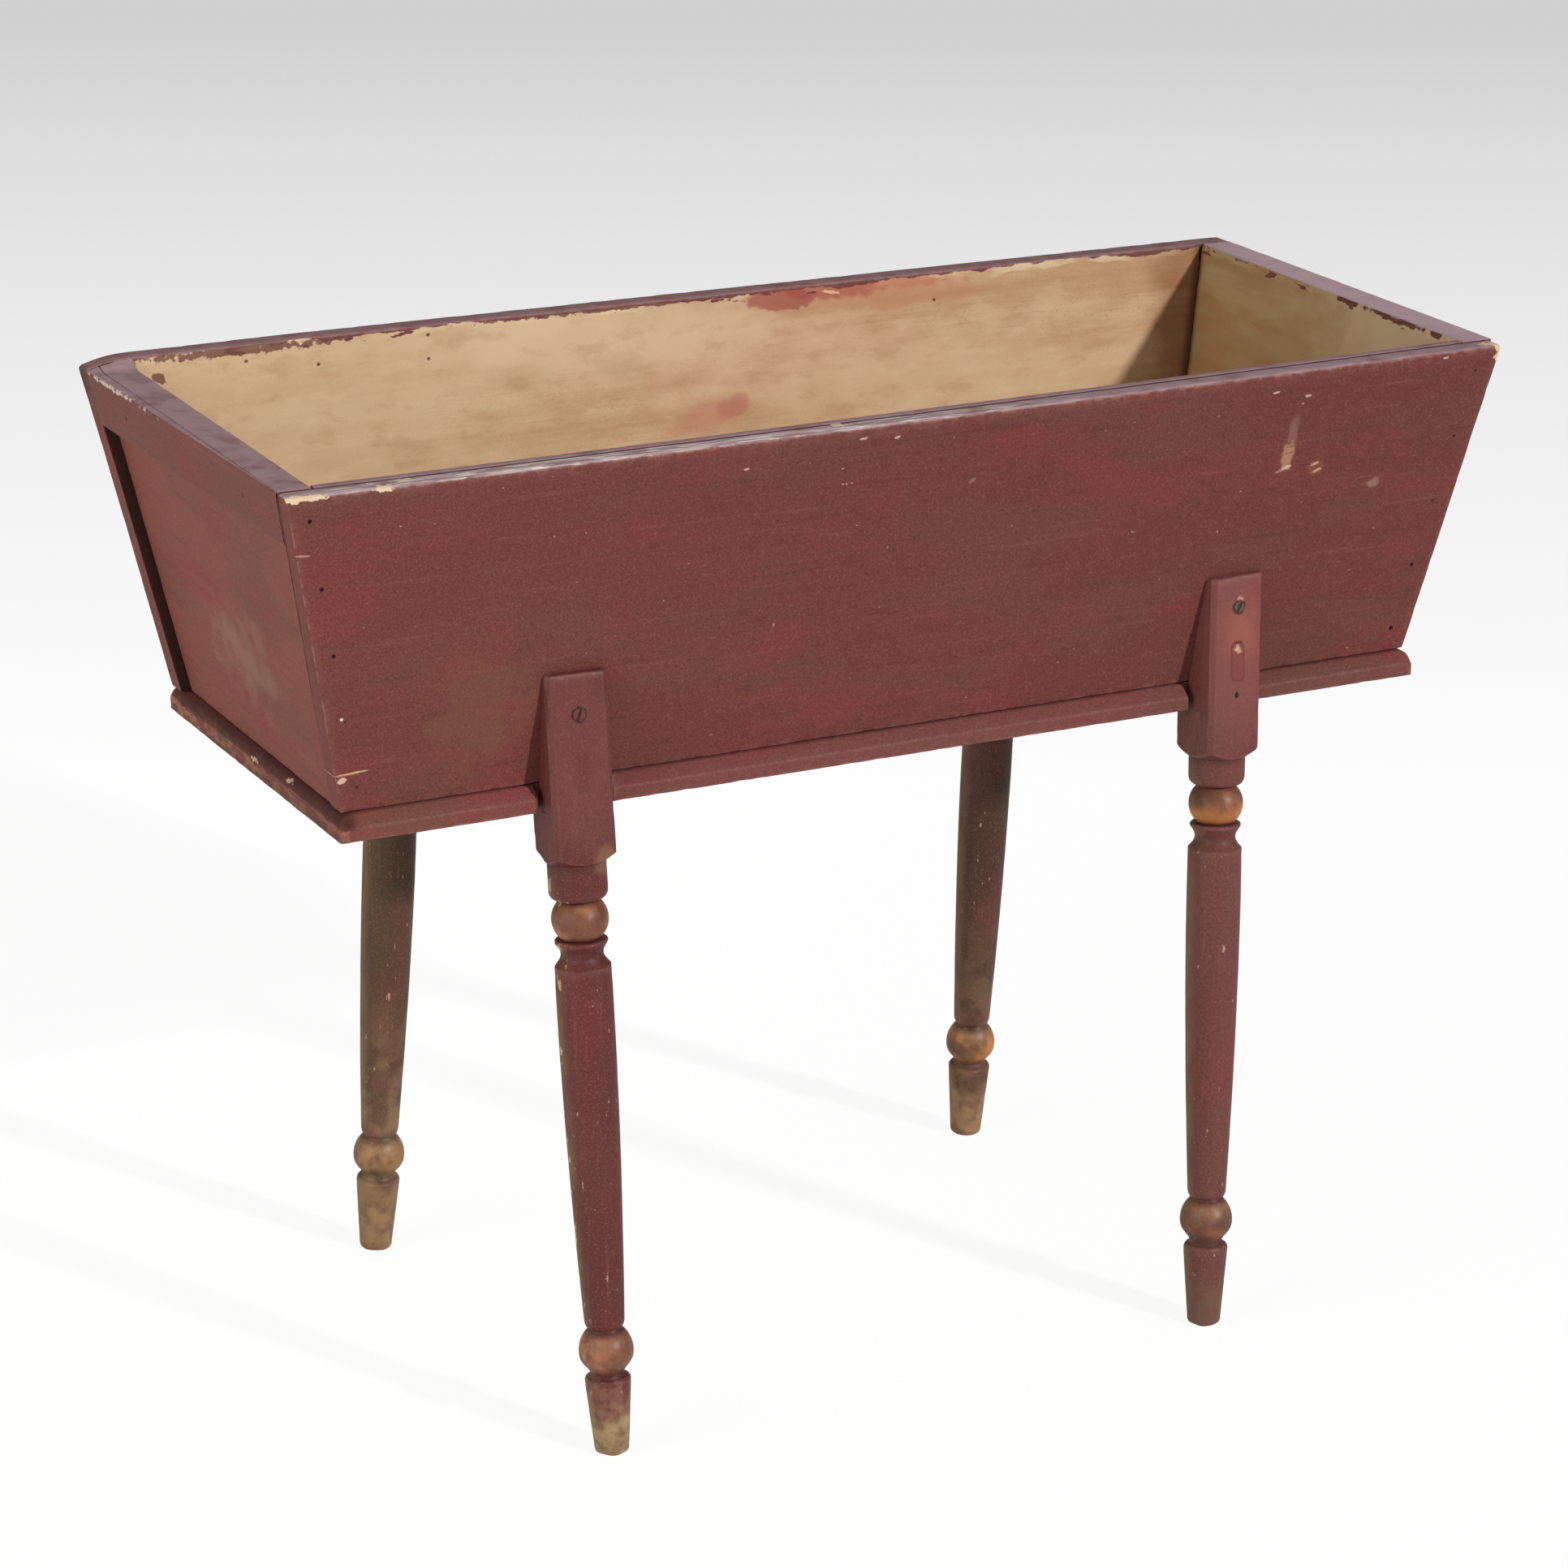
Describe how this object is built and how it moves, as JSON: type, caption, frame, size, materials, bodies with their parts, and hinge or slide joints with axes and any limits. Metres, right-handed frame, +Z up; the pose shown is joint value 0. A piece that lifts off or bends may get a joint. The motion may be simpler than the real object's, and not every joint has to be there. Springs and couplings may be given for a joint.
{
  "type": "dough box",
  "caption": "Open dough trough with sloping nailed board walls on a bottom board, standing on splayed turned legs whose tongues are screwed to its sides.",
  "frame": {"origin": "on the floor under the middle of the whole length and width", "axes": "+X along the trough to the right as seen from the front, +Y to the back, +Z up"},
  "size_m": [0.9506, 0.432, 0.73],
  "materials": {
    "board_wood": "worn dark red paint outside, bare aged pine inside",
    "trim_wood": "worn dark red paint with a grey bloom",
    "bottom_wood": "worn dark red paint, bare wood at the corners",
    "leg_wood": "worn dark red paint, rubbed to brown wood on the turnings",
    "wood_filler": "painted over, rubbed bare in places",
    "screw_steel": "dark, dull, tarnished",
    "nail_iron": "dark, rusted, painted over"
  },
  "bodies": {
    "root": {"back_board": "board_wood", "back_left_leg": "leg_wood", "back_left_nail_1": "nail_iron", "back_left_nail_2": "nail_iron", "back_left_nail_3": "nail_iron", "back_left_nail_4": "nail_iron", "back_left_nail_5": "nail_iron", "back_left_plug": "wood_filler", "back_left_screw": "screw_steel", "back_right_leg": "leg_wood", "back_right_nail_1": "nail_iron", "back_right_nail_2": "nail_iron", "back_right_nail_3": "nail_iron", "back_right_nail_4": "nail_iron", "back_right_nail_5": "nail_iron", "back_right_plug": "wood_filler", "back_right_screw": "screw_steel", "bottom_board": "bottom_wood", "floor_back_left_nail": "nail_iron", "floor_back_right_nail": "nail_iron", "floor_end_left_back_nail": "nail_iron", "floor_end_left_front_nail": "nail_iron", "floor_end_right_back_nail": "nail_iron", "floor_end_right_front_nail": "nail_iron", "floor_front_left_nail": "nail_iron", "floor_front_right_nail": "nail_iron", "front_board": "board_wood", "front_left_leg": "leg_wood", "front_left_nail_1": "nail_iron", "front_left_nail_2": "nail_iron", "front_left_nail_3": "nail_iron", "front_left_nail_4": "nail_iron", "front_left_nail_5": "nail_iron", "front_left_plug": "wood_filler", "front_left_screw": "screw_steel", "front_right_leg": "leg_wood", "front_right_nail_1": "nail_iron", "front_right_nail_2": "nail_iron", "front_right_nail_3": "nail_iron", "front_right_nail_4": "nail_iron", "front_right_nail_5": "nail_iron", "front_right_plug": "wood_filler", "front_right_screw": "screw_steel", "front_rim_strip": "trim_wood", "left_end_panel": "board_wood", "left_end_rail": "trim_wood", "rail_back_nail": "nail_iron", "rail_front_nail": "nail_iron", "right_end_panel": "board_wood", "strip_left_nail": "nail_iron", "strip_right_nail": "nail_iron"}
  },
  "joints": []
}
